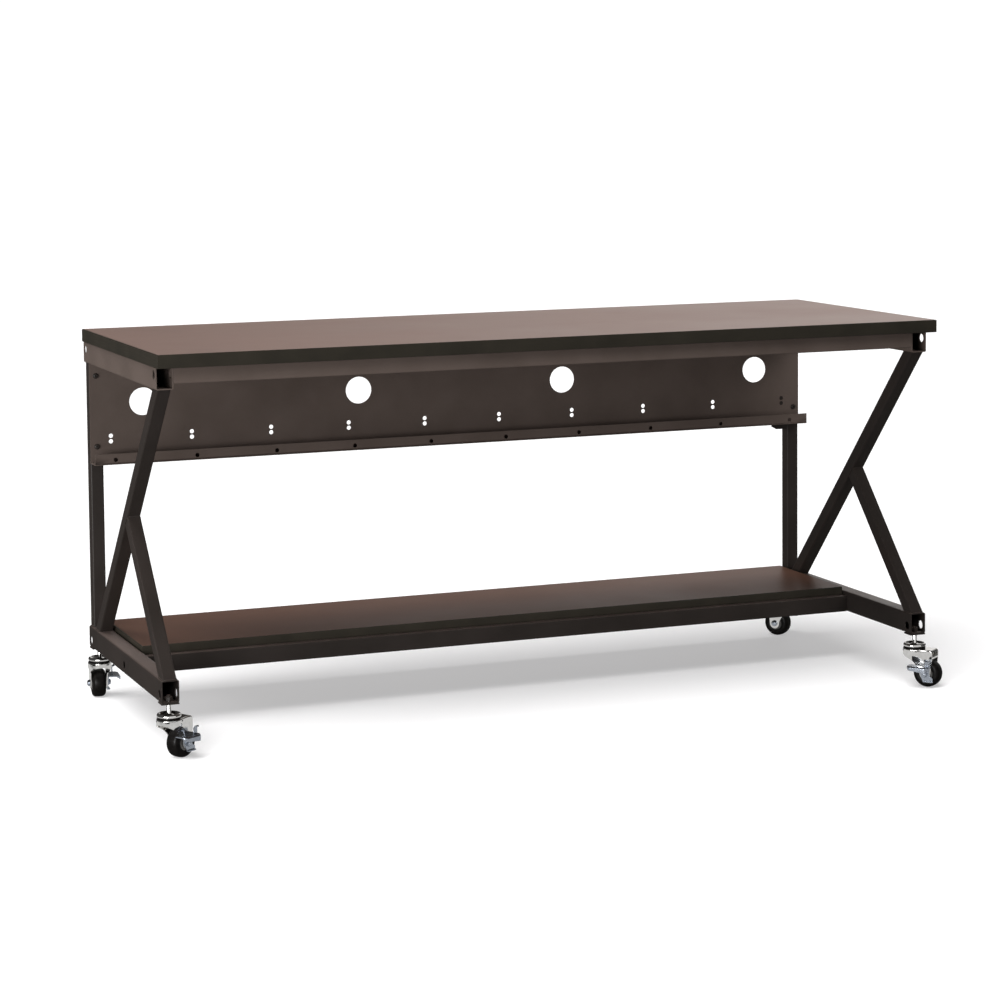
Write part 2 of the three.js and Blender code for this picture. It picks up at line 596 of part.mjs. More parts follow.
function caster({ name, side, rear, heading }) {
  const y = rear ? railRear - STEM_INSET : railFront + STEM_INSET;
  const foot = footPlate(`foot_plate_${name}`);
  const swivel = new THREE.Group();
  swivel.rotation.z = THREE.MathUtils.degToRad(heading);
  swivel.add(
    stem(`caster_stem_${name}`),
    fork(`caster_fork_${name}`),
    axle(`caster_axle_${name}`),
    hub(`caster_hub_${name}`),
    tyre(`caster_tyre_${name}`),
    brake(`caster_brake_${name}`),
  );
  const place = new THREE.Group();
  place.position.set(side * railCentre, y, 0);
  place.add(foot, swivel);
  return place;
}

const table = new THREE.Group();
table.name = 'assembly_table';
table.add(...board('worktop', WORKTOP_LENGTH, WORKTOP_DEPTH, WORKTOP_THICKNESS, -WORKTOP_DEPTH / 2,
  worktopBottom));
table.add(endFrame('left', -1), endFrame('right', 1));
table.add(crossTube('front_apron', APRON_DEPTH, APRON_HEIGHT, APRON_WALL, railFront + APRON_DEPTH / 2,
  upperRailTop - APRON_HEIGHT, panelPaint()));
table.add(crossTube('front_beam', BEAM_SIZE, BEAM_SIZE, BEAM_WALL, frontBeam, railBottom, steelPaint()));
table.add(crossTube('rear_beam', BEAM_SIZE, BEAM_SIZE, BEAM_WALL, rearBeam, railBottom, steelPaint()));
table.add(...board('shelf', 2 * (railInner - SHELF_END_GAP), SHELF_DEPTH, SHELF_THICKNESS, shelfFront,
  shelfBottom));
table.add(backPanel(), ...cableTray(), panelBracket());
for (const [label, side] of [['left', -1], ['right', 1]]) {
  table.add(panelBolt(`panel_bolt_low_${label}`, side * railCentre, BOLT_LOW_RISE));
  table.add(panelBolt(`panel_bolt_high_${label}`, side * railCentre, BOLT_HIGH_RISE));
}
table.add(...CASTERS.map(caster));

// The origin lies on the floor, under the middle of the space that the whole table takes up.
table.updateMatrixWorld(true);
const space = new THREE.Box3().setFromObject(table, true);
const middle = space.getCenter(new THREE.Vector3());
table.position.set(-middle.x, -middle.y, -space.min.z);
table.updateMatrixWorld(true);

export default table;
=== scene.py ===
import json
import math

import bmesh
import bpy
from mathutils import Matrix, Vector, geometry


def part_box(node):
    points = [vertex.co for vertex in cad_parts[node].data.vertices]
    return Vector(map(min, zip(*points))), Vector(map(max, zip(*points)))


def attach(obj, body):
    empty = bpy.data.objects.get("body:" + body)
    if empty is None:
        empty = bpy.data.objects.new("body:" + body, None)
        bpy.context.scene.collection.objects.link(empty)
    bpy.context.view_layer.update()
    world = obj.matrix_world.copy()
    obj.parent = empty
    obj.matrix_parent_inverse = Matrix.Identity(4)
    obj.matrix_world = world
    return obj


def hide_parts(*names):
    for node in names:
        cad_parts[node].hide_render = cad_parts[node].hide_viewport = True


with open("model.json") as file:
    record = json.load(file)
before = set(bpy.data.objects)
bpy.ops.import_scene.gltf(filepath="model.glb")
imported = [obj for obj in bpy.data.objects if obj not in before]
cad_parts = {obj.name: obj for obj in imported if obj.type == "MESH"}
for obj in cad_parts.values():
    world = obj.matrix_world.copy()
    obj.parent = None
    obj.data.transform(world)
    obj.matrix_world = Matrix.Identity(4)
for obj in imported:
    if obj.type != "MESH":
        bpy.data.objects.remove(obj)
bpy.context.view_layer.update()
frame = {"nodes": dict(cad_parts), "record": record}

MM = 0.001
JOINTS = {j["name"]: j for j in frame["record"]["behaviour"]["joints"]}
CASTERS = ["front_left", "front_right", "rear_left", "rear_right"]


# Camera: its place is measured from the middle of the worktop's top; the frame is 1000 pixels square.
CAMERA_FROM_TOP = Vector((-2.31167, -5.78361, 0.54343))
CAMERA_YAW, CAMERA_PITCH, CAMERA_ROLL = 0.37644, 0.07811, 0.00894
FRAME_PIXELS, FOCAL_PIXELS, AXIS_ROW = 1000, 2740.09, 300
SENSOR_MM = 36


def make_camera():
    low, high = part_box("worktop_edge_band")
    place = Vector(((low.x + high.x) / 2, (low.y + high.y) / 2, high.z)) + CAMERA_FROM_TOP
    forward = Vector((math.sin(CAMERA_YAW) * math.cos(CAMERA_PITCH),
                      math.cos(CAMERA_YAW) * math.cos(CAMERA_PITCH), -math.sin(CAMERA_PITCH)))
    level = Vector((math.cos(CAMERA_YAW), -math.sin(CAMERA_YAW), 0))
    down = forward.cross(level)
    right = math.cos(CAMERA_ROLL) * level + math.sin(CAMERA_ROLL) * down
    up = math.sin(CAMERA_ROLL) * level - math.cos(CAMERA_ROLL) * down
    data = bpy.data.cameras.new("camera")
    data.sensor_width = SENSOR_MM
    data.lens = FOCAL_PIXELS * SENSOR_MM / FRAME_PIXELS
    data.shift_y = (AXIS_ROW - FRAME_PIXELS / 2) / FRAME_PIXELS
    data.clip_start, data.clip_end = 0.1, 200
    camera = bpy.data.objects.new("camera", data)
    bpy.context.collection.objects.link(camera)
    turn = Matrix((right, up, -forward)).transposed().to_4x4()
    camera.matrix_world = Matrix.Translation(place) @ turn
    bpy.context.scene.camera = camera
    bpy.context.scene.view_settings.view_transform = "Standard"


# Node helpers
class Nodes:
    """A material's or world's node tree with short calls for adding and linking nodes."""

    def __init__(self, tree):
        self.tree = tree
        tree.nodes.clear()

    def add(self, kind, inputs=None, **settings):
        node = self.tree.nodes.new(kind)
        for key, value in settings.items():
            setattr(node, key, value)
        for key, value in (inputs or {}).items():
            if isinstance(value, bpy.types.NodeSocket):
                self.tree.links.new(value, node.inputs[key])
            else:
                node.inputs[key].default_value = value
        return node

    def noise(self, vector, scale, detail=3.0, roughness=0.5):
        return self.add("ShaderNodeTexNoise", {"Vector": vector, "Scale": scale, "Detail": detail,
                                               "Roughness": roughness}).outputs["Fac"]

    def span(self, value, low, high, to_low=0.0, to_high=1.0):
        return self.add("ShaderNodeMapRange", {"Value": value, "From Min": low, "From Max": high,
                                               "To Min": to_low, "To Max": to_high}).outputs["Result"]

    def math(self, operation, a, b):
        return self.add("ShaderNodeMath", {0: a, 1: b}, operation=operation).outputs[0]

    def mix(self, factor, a, b):
        node = self.add("ShaderNodeMix", data_type="RGBA")
        for socket, value in ((0, factor), (6, a), (7, b)):
            if isinstance(value, bpy.types.NodeSocket):
                self.tree.links.new(value, node.inputs[socket])
            else:
                node.inputs[socket].default_value = value
        return node.outputs[2]


def rgb(red, green, blue):
    """A display colour, 0 to 255, as a linear shader colour."""
    def linear(c):
        c /= 255
        return c / 12.92 if c <= 0.04045 else ((c + 0.055) / 1.055) ** 2.4
    return (linear(red), linear(green), linear(blue), 1)


def surface(name):
    material = bpy.data.materials.new(name)
    material.use_nodes = True
    nodes = Nodes(material.node_tree)
    shader = nodes.add("ShaderNodeBsdfPrincipled")
    output = nodes.add("ShaderNodeOutputMaterial")
    nodes.tree.links.new(shader.outputs[0], output.inputs[0])
    place = nodes.add("ShaderNodeTexCoord").outputs["Object"]
    return material, nodes, shader, place


def edges(nodes, radius):
    """A rounded normal near sharp edges, and how near an edge a point is."""
    soft = nodes.add("ShaderNodeBevel", {"Radius": radius}, samples=4).outputs[0]
    flat = nodes.add("ShaderNodeNewGeometry").outputs["Normal"]
    same = nodes.add("ShaderNodeVectorMath", {0: soft, 1: flat}, operation="DOT_PRODUCT").outputs["Value"]
    return soft, nodes.span(same, 0.99, 0.75)


def finish_surface(nodes, shader, colour, roughness, height, strength, distance, normal=None):
    bump = nodes.add("ShaderNodeBump", {"Height": height, "Strength": strength, "Distance": distance})
    if normal is not None:
        nodes.tree.links.new(normal, bump.inputs["Normal"])
    nodes.tree.links.new(colour, shader.inputs["Base Color"])
    nodes.tree.links.new(roughness, shader.inputs["Roughness"])
    nodes.tree.links.new(bump.outputs[0], shader.inputs["Normal"])


# Painted shade: the dark colour that the hollow insides of tubes are mixed towards, in place of their shade.
PAINTED_TUBE_SHADE = rgb(16, 14, 13)
TUBE_DEPTH = 0.06


def powder_coat(name, gloss, dark, light, fleck, worn, dust_and_sheen):
    """Bronze powder coat: orange peel, mottling, rubbed edges, tops lightened by dust and painted sheen, and
    painted shade darkening the inside of tubes.
    """
    material, nodes, shader, place = surface(name)
    shader.inputs["Specular IOR Level"].default_value = gloss
    peel = nodes.noise(place, 620, 2)
    mottle = nodes.noise(place, 9, 4)
    grain = nodes.noise(place, 1500, 2)
    soft, near = edges(nodes, 0.0014)
    rub = nodes.math("MULTIPLY", near, nodes.span(nodes.noise(place, 55, 4), 0.45, 0.75))
    colour = nodes.mix(nodes.span(mottle, 0.3, 0.7), dark, light)
    colour = nodes.mix(nodes.span(grain, 0.5, 0.8, 0, 0.25), colour, fleck)
    # Upward faces turn towards the dust colour: partly settled dust, partly painted sheen for the light that
    # top faces catch.
    normal = nodes.add("ShaderNodeNewGeometry").outputs["Normal"]
    facing = nodes.add("ShaderNodeSeparateXYZ", {0: normal}).outputs["Z"]
    top_dust_and_sheen = nodes.math("MULTIPLY", nodes.span(facing, 0.85, 0.98), nodes.span(mottle, 0.2, 0.6, 0.7, 0.95))
    colour = nodes.mix(top_dust_and_sheen, colour, dust_and_sheen)
    colour = nodes.mix(nodes.math("MULTIPLY", rub, 0.35), colour, worn)
    # Painted shade: where ambient occlusion finds a point enclosed, as inside a tube, the colour goes dark.
    openness = nodes.add("ShaderNodeAmbientOcclusion", {"Distance": TUBE_DEPTH}, samples=6,
                         only_local=True).outputs["AO"]
    colour = nodes.mix(nodes.span(openness, 0.1, 0.4, 0.85, 0.0), colour, PAINTED_TUBE_SHADE)
    rough = nodes.span(mottle, 0.25, 0.75, 0.38, 0.5)
    height = nodes.math("ADD", peel, nodes.math("MULTIPLY", grain, 0.35))
    finish_surface(nodes, shader, colour, rough, height, 0.18, 0.0006, soft)
    return material


def laminate(name, light, dark, gloss):
    """Plain board laminate: a fine two-tone fleck, faint clouds and streaks, and a pebbled satin surface."""
    material, nodes, shader, place = surface(name)
    shader.inputs["Specular IOR Level"].default_value = gloss
    fleck = nodes.noise(place, 430, 3, 0.65)
    cloud = nodes.noise(place, 3.2, 4)
    stretched = nodes.add("ShaderNodeMapping", {"Vector": place, "Scale": (1.0, 14.0, 14.0)}).outputs[0]
    streak = nodes.noise(stretched, 7, 5, 0.6)
    colour = nodes.mix(nodes.span(fleck, 0.35, 0.68), dark, light)
    colour = nodes.mix(nodes.span(cloud, 0.35, 0.7, 0, 0.22), colour, light)
    colour = nodes.mix(nodes.span(streak, 0.45, 0.75, 0, 0.25), colour, dark)
    rough = nodes.span(nodes.math("ADD", cloud, nodes.math("MULTIPLY", fleck, 0.4)), 0.4, 1.0, 0.34, 0.46)
    soft, _ = edges(nodes, 0.0008)
    finish_surface(nodes, shader, colour, rough, fleck, 0.1, 0.0004, soft)
    return material


def edge_band():
    """Extruded plastic band: near-black, with faint lines along its length."""
    material, nodes, shader, place = surface("edge_band")
    shader.inputs["Specular IOR Level"].default_value = 0.22
    drawn = nodes.add("ShaderNodeMapping", {"Vector": place, "Scale": (0.6, 0.6, 60.0)}).outputs[0]
    lines = nodes.noise(drawn, 22, 4)
    cloud = nodes.noise(place, 14, 3)
    soft, near = edges(nodes, 0.0012)
    colour = nodes.mix(nodes.span(cloud, 0.3, 0.7), rgb(47, 44, 38), rgb(54, 50, 43))
    colour = nodes.mix(nodes.math("MULTIPLY", near, 0.3), colour, rgb(88, 80, 72))
    rough = nodes.span(lines, 0.3, 0.7, 0.36, 0.5)
    finish_surface(nodes, shader, colour, rough, lines, 0.12, 0.0005, soft)
    return material


def plated(name, light, dark, low, high, fine):
    """Plated metal: slight clouding in colour and gloss over a fine polished grain."""
    material, nodes, shader, place = surface(name)
    shader.inputs["Metallic"].default_value = 1.0
    cloud = nodes.noise(place, 70, 4)
    grain = nodes.noise(place, fine, 2)
    smudge = nodes.noise(place, 160, 5, 0.65)
    soft, near = edges(nodes, 0.0005)
    colour = nodes.mix(nodes.span(cloud, 0.3, 0.7), dark, light)
    colour = nodes.mix(nodes.math("MULTIPLY", near, 0.4), colour, light)
    rough = nodes.span(nodes.math("ADD", smudge, nodes.math("MULTIPLY", cloud, 0.5)), 0.5, 1.0, low, high)
    finish_surface(nodes, shader, colour, rough, grain, 0.05, 0.0002, soft)
    return material


def tread():
    """Hard black wheel tread: satin, finely pored and lightly scuffed."""
    material, nodes, shader, place = surface("wheel_tread")
    shader.inputs["Specular IOR Level"].default_value = 0.25
    scuff = nodes.noise(place, 190, 5, 0.6)
    pores = nodes.noise(place, 1400, 2)
    colour = nodes.mix(nodes.span(scuff, 0.45, 0.8), rgb(18, 16, 15), rgb(34, 31, 29))
    rough = nodes.span(scuff, 0.3, 0.75, 0.3, 0.5)
    finish_surface(nodes, shader, colour, rough, pores, 0.12, 0.0003)
    return material


def hub_plastic():
    """Grey moulded plastic: faintly clouded, with a fine mould texture."""
    material, nodes, shader, place = surface("wheel_hub")
    mould = nodes.noise(place, 900, 3)
    cloud = nodes.noise(place, 60, 4)
    colour = nodes.mix(nodes.span(cloud, 0.3, 0.7), rgb(112, 110, 108), rgb(140, 138, 135))
    rough = nodes.span(cloud, 0.3, 0.7, 0.4, 0.55)
    finish_surface(nodes, shader, colour, rough, mould, 0.12, 0.0003)
    return material


MATERIALS = {
    "frame_paint": powder_coat("frame_paint", 0.45, dark=rgb(44, 39, 36), light=rgb(51, 45, 42),
                               fleck=rgb(64, 57, 53), worn=rgb(92, 83, 78), dust_and_sheen=rgb(97, 85, 80)),
    # panel_paint is the frame's bronze powder coat made about twice as light for the apron, back panel and
    # tray: the extra lightness is painted light.
    "panel_paint": powder_coat("panel_paint", 0.2, dark=rgb(92, 81, 75), light=rgb(102, 90, 84),
                               fleck=rgb(116, 105, 99), worn=rgb(150, 138, 130), dust_and_sheen=rgb(112, 101, 95)),
    "worktop_laminate": laminate("worktop_laminate", rgb(136, 112, 103), rgb(117, 96, 88), 0.5),
    "shelf_laminate": laminate("shelf_laminate", rgb(101, 74, 62), rgb(85, 61, 50), 0.12),
    "edge_band": edge_band(),
    "caster_chrome": plated("caster_chrome", (0.86, 0.85, 0.83, 1), (0.74, 0.73, 0.71, 1),
                            low=0.05, high=0.16, fine=1800),
    "caster_zinc": plated("caster_zinc", (0.42, 0.45, 0.5, 1), (0.35, 0.38, 0.43, 1),
                          low=0.22, high=0.3, fine=1200),
    "wheel_hub": hub_plastic(),
    "wheel_tread": tread(),
}


# Mesh helpers
PIECES = []
WELD_DISTANCE, BEVEL_ANGLE = 1e-7, 0.6
UPRIGHT = Matrix.Rotation(math.radians(90), 4, "X")


def piece(name, verts, faces, slot, body, matrix=None, angle=32, bevel=0.0):
    """A visible piece on a body: edges bent by more than the angle stay sharp, a bevel rounds them."""
    mesh = bpy.data.meshes.new(name)
    mesh.from_pydata([tuple(v) for v in verts], [], faces)
    if matrix is not None:
        mesh.transform(matrix)
    shape = bmesh.new()
    shape.from_mesh(mesh)
    bmesh.ops.remove_doubles(shape, verts=shape.verts, dist=WELD_DISTANCE)
    bmesh.ops.recalc_face_normals(shape, faces=shape.faces)
    if bevel:
        sharp = [e for e in shape.edges if len(e.link_faces) == 2 and e.calc_face_angle(0) > BEVEL_ANGLE]
        bmesh.ops.bevel(shape, geom=sharp, offset=bevel, segments=2, affect="EDGES", clamp_overlap=True)
    shape.to_mesh(mesh)
    shape.free()
    for polygon in mesh.polygons:
        polygon.use_smooth = True
    mesh.set_sharp_from_angle(angle=math.radians(angle))
    mesh.materials.append(MATERIALS[slot])
    obj = bpy.data.objects.new(name, mesh)
    bpy.context.collection.objects.link(obj)
    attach(obj, body)
    PIECES.append(obj)
    return obj


class Shape:
    """Vertices and faces gathered from several simple forms."""

    def __init__(self):
        self.verts = []
        self.faces = []

    def take(self, verts, faces, matrix=None):
        start = len(self.verts)
        self.verts += [matrix @ Vector(v) if matrix else Vector(v) for v in verts]
        self.faces += [[start + i for i in face] for face in faces]
        return self

    def revolve(self, profile, sides, matrix=None):
        """A profile of (radius, height) turned about Z; it closes on itself or ends on the axis."""
        rings = []
        verts = []
        for radius, height in profile:
            if radius < 1e-9:
                rings.append([len(verts)] * sides)
                verts.append((0, 0, height))
                continue
            rings.append(list(range(len(verts), len(verts) + sides)))
            for i in range(sides):
                turn = 2 * math.pi * i / sides
                verts.append((radius * math.cos(turn), radius * math.sin(turn), height))
        faces = []
        for low, high in zip(rings, rings[1:]):
            for i in range(sides):
                j = (i + 1) % sides
                face = list(dict.fromkeys((low[i], low[j], high[j], high[i])))
                if len(face) > 2:
                    faces.append(face)
        return self.take(verts, faces, matrix)

    def grid(self, rows, matrix=None):
        """A closed tube through equal loops of points, with a face over each end."""
        count = len(rows[0])
        verts = [p for row in rows for p in row]
        faces = []
        for r in range(len(rows) - 1):
            for c in range(count):
                d = (c + 1) % count
                faces.append([r * count + c, r * count + d, (r + 1) * count + d, (r + 1) * count + c])
        faces.append(list(range(count))[::-1])
        faces.append([(len(rows) - 1) * count + c for c in range(count)])
        return self.take(verts, faces, matrix)

    def plate(self, outline, holes, thickness, matrix=None):
        """A flat plate in XY with holes, from z 0 up to its thickness."""
        loops = [[Vector((x, y, 0)) for x, y in loop] for loop in [outline, *holes]]
        flat = [p for loop in loops for p in loop]
        count = len(flat)
        verts = [(p.x, p.y, 0) for p in flat] + [(p.x, p.y, thickness) for p in flat]
        faces = []
        for triangle in geometry.tessellate_polygon(loops):
            faces.append(list(triangle))
            faces.append([i + count for i in reversed(triangle)])
        start = 0
        for loop in loops:
            for i in range(len(loop)):
                a, b = start + i, start + (i + 1) % len(loop)
                faces.append([a, b, b + count, a + count])
            start += len(loop)
        return self.take(verts, faces, matrix)


def ease(t):
    """A smooth step from 0 to 1."""
    t = min(max(t, 0.0), 1.0)
    return t * t * (3 - 2 * t)


def circle(x, y, radius, sides):
    return [(x + radius * math.cos(2 * math.pi * i / sides), y + radius * math.sin(2 * math.pi * i / sides))
            for i in range(sides)]


def oblong(left, right, low, high):
    return [(left, low), (right, low), (right, high), (left, high)]


def rounded(radius, inner, low, high, corner):
    """Half-section (radius, height) of a ring or disc with round outer corners."""
    steps = 4
    points = [(inner, low)]
    for height, start in ((low + corner, -90), (high - corner, 0)):
        for i in range(steps + 1):
            turn = math.radians(start + 90 * i / steps)
            points.append((radius - corner + corner * math.cos(turn), height + corner * math.sin(turn)))
    points.append((inner, high))
    return points


# Boards, in metres
BAND_THICK, BAND_CORNER, BOARD_BEVEL = 0.0026, 0.0012, 0.0003


def make_board(core, band, slot):
    low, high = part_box(core)
    outer_low, outer_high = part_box(band)
    shape = Shape().plate(oblong(low.x, high.x, low.y, high.y), [], (high - low).z,
                          Matrix.Translation((0, 0, low.z)))
    board = piece(core + "_board", shape.verts, shape.faces, slot, "table", bevel=BOARD_BEVEL)
    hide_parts(core)
    section = rounded(BAND_THICK, 0.0, outer_low.z, outer_high.z, BAND_CORNER)
    rows = []
    for x, y, sx, sy in ((outer_low.x, outer_low.y, -1, -1), (outer_high.x, outer_low.y, 1, -1),
                         (outer_high.x, outer_high.y, 1, 1), (outer_low.x, outer_high.y, -1, 1)):
        rows.append([(x - sx * (BAND_THICK - r), y - sy * (BAND_THICK - r), z) for r, z in section])
    count = len(section)
    faces = []
    for r in range(4):
        for c in range(count):
            d, s = (c + 1) % count, (r + 1) % 4
            faces.append([r * count + c, r * count + d, s * count + d, s * count + c])
    strip = piece(band + "_strip", [p for row in rows for p in row], faces, "edge_band", "table", angle=50)
    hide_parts(band)


# Back panel and tray, in metres: one sheet, folded twice along its length.
# Its holes are placed from its middle and from the lower edge of the panel or the lip.
BEND = 0.0025
CABLE_PITCH, CABLE_RISE, CABLE_RADIUS = 0.5207, 0.1365, 0.03175
HOLE_PITCH, HOLE_COUNT, HOLE_RADIUS, PAIR_RISES = 0.1905, 10, 0.005, (0.0485, 0.0612)
SCREW_OUT, SCREW_RADIUS, SCREW_RISES = 0.89, 0.0035, (0.038, 0.2)
LIP_HOLE_RISE = 0.0115


def make_back_sheet():
    low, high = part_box("back_panel")
    lip_low, lip_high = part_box("tray_lip")
    thick = high.y - low.y
    left, right = low.x, high.x
    middle = (left + right) / 2
    cable = [middle + i * CABLE_PITCH for i in (-1.5, -0.5, 0.5, 1.5)]
    small = [middle + (i - (HOLE_COUNT - 1) / 2) * HOLE_PITCH for i in range(HOLE_COUNT)]
    screws = [middle - SCREW_OUT, middle + SCREW_OUT]
    holes = [circle(x, low.z + CABLE_RISE, CABLE_RADIUS, 72) for x in cable]
    holes += [circle(x, low.z + rise, HOLE_RADIUS, 28) for x in small for rise in PAIR_RISES]
    holes += [circle(x, low.z + rise, SCREW_RADIUS, 16) for x in screws for rise in SCREW_RISES]
    lips = [circle(x, lip_low.z + LIP_HOLE_RISE, HOLE_RADIUS, 28) for x in small]
    shape = Shape()
    shape.plate(oblong(left, right, low.z + BEND, high.z), holes, thick,
                Matrix.Translation((0, high.y, 0)) @ UPRIGHT)
    shape.plate(oblong(left, right, lip_low.z + BEND, lip_high.z), lips, thick,
                Matrix.Translation((0, lip_high.y, 0)) @ UPRIGHT)
    shape.plate(oblong(left, right, lip_low.y + BEND, high.y - BEND), [], thick,
                Matrix.Translation((0, 0, low.z)))
    for centre, start in ((high.y - BEND, 270), (lip_low.y + BEND, 180)):
        ring = []
        for radius, turns in ((BEND, range(0, 7)), (BEND - thick, range(6, -1, -1))):
            for i in turns:
                turn = math.radians(start + 15 * i)
                ring.append((centre + radius * math.cos(turn), low.z + BEND + radius * math.sin(turn)))
        shape.grid([[(x, y, z) for y, z in ring] for x in (left, right)])
    sheet = piece("folded_back_sheet", shape.verts, shape.faces, "panel_paint", "table", angle=40)
    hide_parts("back_panel", "tray_floor", "tray_lip")


# Panel screw, in metres: its half-section (radius, height), with a round head, a recess and a washer
HEAD_HEIGHT = 0.0045
SCREW_SECTION = [(0, 0.0022), (0.0018, 0.0022), (0.0021, 0.0045), (0.0035, 0.0045), (0.0052, 0.0036),
                 (0.0056, 0.0024), (0.0056, 0.0009), (0.0063, 0.0009), (0.0065, 0.0006), (0.0065, 0.0),
                 (0.003, 0.0), (0.003, -0.011), (0, -0.012)]


def make_panel_bolt(node):
    low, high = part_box(node)
    x, z = (low.x + high.x) / 2, (low.z + high.z) / 2
    place = Matrix.Translation((x, low.y + HEAD_HEIGHT, z)) @ UPRIGHT
    shape = Shape().revolve(SCREW_SECTION, 36, place)
    bolt = piece(node + "_screw", shape.verts, shape.faces, "frame_paint", "table")
    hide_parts(node)


# Weld beads where the tubes of an end frame meet, in metres. The taper is the share that the ends keep.
BEAD, BEAD_STEP, BEAD_RUN_IN, BEAD_TAPER, BEAD_SIDES = 0.0017, 0.0011, 0.003, 0.25, 8
RIPPLE, RIPPLE_RATE = 0.14, 2600
WELD_INSET, SLOPE_FOOT = 0.0025, 0.0408
BRACE_LEAN, BRACE_END = math.radians(47.32), 0.0301


def add_bead(shape, start, end):
    """A rippled bead along a straight joint, half sunk in the corner and tapered at both ends."""
    start, end = Vector(start), Vector(end)
    along = end - start
    length = along.length
    turn = along.to_track_quat("Z", "Y").to_matrix()
    count = max(int(length / BEAD_STEP), 6)
    rows = []
    for i in range(count + 1):
        run = length * i / count
        taper = ease(min(run, length - run) / BEAD_RUN_IN) * (1 - BEAD_TAPER) + BEAD_TAPER
        radius = BEAD * taper * (1 + RIPPLE * math.sin(run * RIPPLE_RATE))
        centre = start + along * (i / count)
        ring = circle(0, 0, radius, BEAD_SIDES)
        rows.append([centre + turn @ Vector((x, y, 0)) for x, y in ring])
    shape.grid(rows)


def make_welds(side):
    floor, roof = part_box("lower_rail_" + side)[1].z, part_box("upper_rail_" + side)[0].z
    post_low, post_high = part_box("rear_post_" + side)
    slope_low, slope_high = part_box("diagonal_" + side)
    brace_low, brace_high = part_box("brace_" + side)
    left, right = post_low.x, post_high.x
    meet = (brace_high.y - BRACE_END * math.cos(BRACE_LEAN), brace_high.z)
    end = (brace_high.y, brace_high.z - BRACE_END * math.sin(BRACE_LEAN))
    flat = [(post_low.y, post_high.y, floor), (post_low.y, post_high.y, roof),
            (slope_low.y, slope_low.y + SLOPE_FOOT, roof), (slope_high.y - SLOPE_FOOT, slope_high.y, floor),
            (brace_low.y, brace_low.y + SLOPE_FOOT, floor)]
    shape = Shape()
    for x in (left, right):
        for front, rear, z in flat:
            add_bead(shape, (x, front + WELD_INSET, z), (x, rear - WELD_INSET, z))
        add_bead(shape, (x, meet[0] + WELD_INSET, meet[1] - WELD_INSET),
                 (x, end[0] - WELD_INSET, end[1] + WELD_INSET))
    for y, z in ((slope_low.y, roof), meet, (brace_low.y, floor), (post_low.y, floor)):
        add_bead(shape, (left + WELD_INSET, y, z), (right - WELD_INSET, y, z))
    piece("welds_" + side, shape.verts, shape.faces, "frame_paint", "table", angle=60)


# Casters, in millimetres about the stem's axis: +X trails behind, the brake is on the -Y side.
# Their zero height lies a little under the floor.
CASTER_ZERO = -0.156
TRAIL, AXLE_Z, WHEEL = 34.0, 32.5, 32.34
FORK_ROUND, FORK_SIDE, FORK_REAR, FORK_TOP, FORK_SHEET = 27.0, 19.6, 51.0, 88.4, 2.5
FORK_BLEND, REAR_ROUND, SHOULDER = 38.0, 6.0, 2.5
SEAM, SLIVER = 0.01, 0.005
LEG_EYE, LEG_REAR_RISE, LEG_NARROW_TOP, LEG_NARROW_DEPTH = 13.0, 35.0, 77.0, 20.0
LEG_FRONT = [(-27.0, 77.5), (-22.0, 74.5), (-14.0, 70.0), (-6.0, 65.6), (2.0, 60.6), (10.0, 53.6),
             (15.0, 47.6), (18.5, 42.0), (20.4, 37.0), (21.0, 32.5)]


def fork_side(x):
    """Half-width of the fork at its top, from the round front into the flat sides."""
    if x <= 0:
        return math.sqrt(max(FORK_ROUND ** 2 - x * x, 0))
    return FORK_ROUND + (FORK_SIDE - FORK_ROUND) * ease(x / FORK_BLEND)


def leg_bottom(x):
    """Height of a leg's lower edge: the front arch, the eye round the axle, then the rear edge."""
    if x >= TRAIL + LEG_EYE:
        return AXLE_Z + (x - TRAIL - LEG_EYE) / (FORK_REAR - TRAIL - LEG_EYE) * LEG_REAR_RISE
    if x >= TRAIL - LEG_EYE:
        return AXLE_Z - math.sqrt(max(LEG_EYE ** 2 - (x - TRAIL) ** 2, 0))
    for (xa, za), (xb, zb) in zip(LEG_FRONT, LEG_FRONT[1:]):
        if x <= xb:
            return za + (zb - za) * (x - xa) / (xb - xa)
    return AXLE_Z


